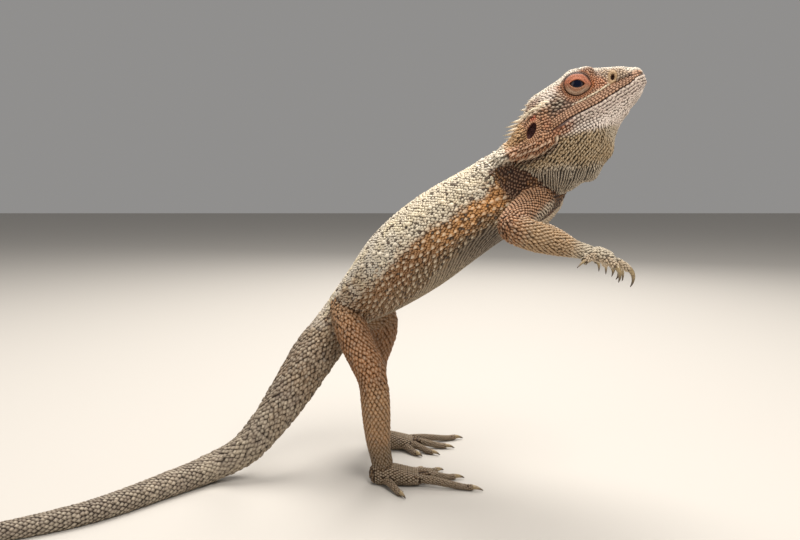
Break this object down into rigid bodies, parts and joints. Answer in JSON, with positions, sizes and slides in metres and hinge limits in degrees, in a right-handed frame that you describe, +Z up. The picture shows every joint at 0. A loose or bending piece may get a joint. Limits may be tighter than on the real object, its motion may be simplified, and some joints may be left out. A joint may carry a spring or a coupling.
{
  "type": "bearded dragon",
  "caption": "Life-size still model of a bearded dragon lizard, reared up on its hind feet and tail with its forefeet held out and its head raised.",
  "frame": {"origin": "middle of the box that holds the whole animal, on the floor that its hind feet and tail rest on", "axes": "+X from the tail to the snout, +Y to the animal's left, +Z up"},
  "size_m": [0.335, 0.1418, 0.1787],
  "materials": {
    "skin_back": "matte, scaled",
    "skin_leg": "matte, scaled",
    "skin_tail": "matte, scaled",
    "skin_face": "satin, scaled",
    "skin_pale": "matte, scaled",
    "eye": "wet gloss",
    "horn": "satin horn"
  },
  "bodies": {
    "root": {"head": "skin_face", "lower_jaw": "skin_pale", "beard": "skin_pale", "eye_left": "eye", "eye_right": "eye", "neck": "skin_back", "chest": "skin_back", "abdomen": "skin_back", "pelvis": "skin_back", "tail_base": "skin_tail", "tail_second": "skin_tail", "tail_third": "skin_tail", "tail_fourth": "skin_tail", "tail_tip": "skin_tail", "upper_arm_left": "skin_leg", "upper_arm_right": "skin_leg", "forearm_left": "skin_leg", "forearm_right": "skin_leg", "hand_left": "skin_leg", "hand_right": "skin_leg", "thigh_left": "skin_leg", "thigh_right": "skin_leg", "shank_left": "skin_leg", "shank_right": "skin_leg", "foot_left": "skin_leg", "foot_right": "skin_leg", "hand_claw_left_1": "horn", "hand_claw_left_2": "horn", "hand_claw_left_3": "horn", "hand_claw_left_4": "horn", "hand_claw_left_5": "horn", "hand_claw_right_1": "horn", "hand_claw_right_2": "horn", "hand_claw_right_3": "horn", "hand_claw_right_4": "horn", "hand_claw_right_5": "horn", "foot_claw_left_1": "horn", "foot_claw_left_2": "horn", "foot_claw_left_3": "horn", "foot_claw_left_4": "horn", "foot_claw_left_5": "horn", "foot_claw_right_1": "horn", "foot_claw_right_2": "horn", "foot_claw_right_3": "horn", "foot_claw_right_4": "horn", "foot_claw_right_5": "horn"}
  },
  "joints": []
}
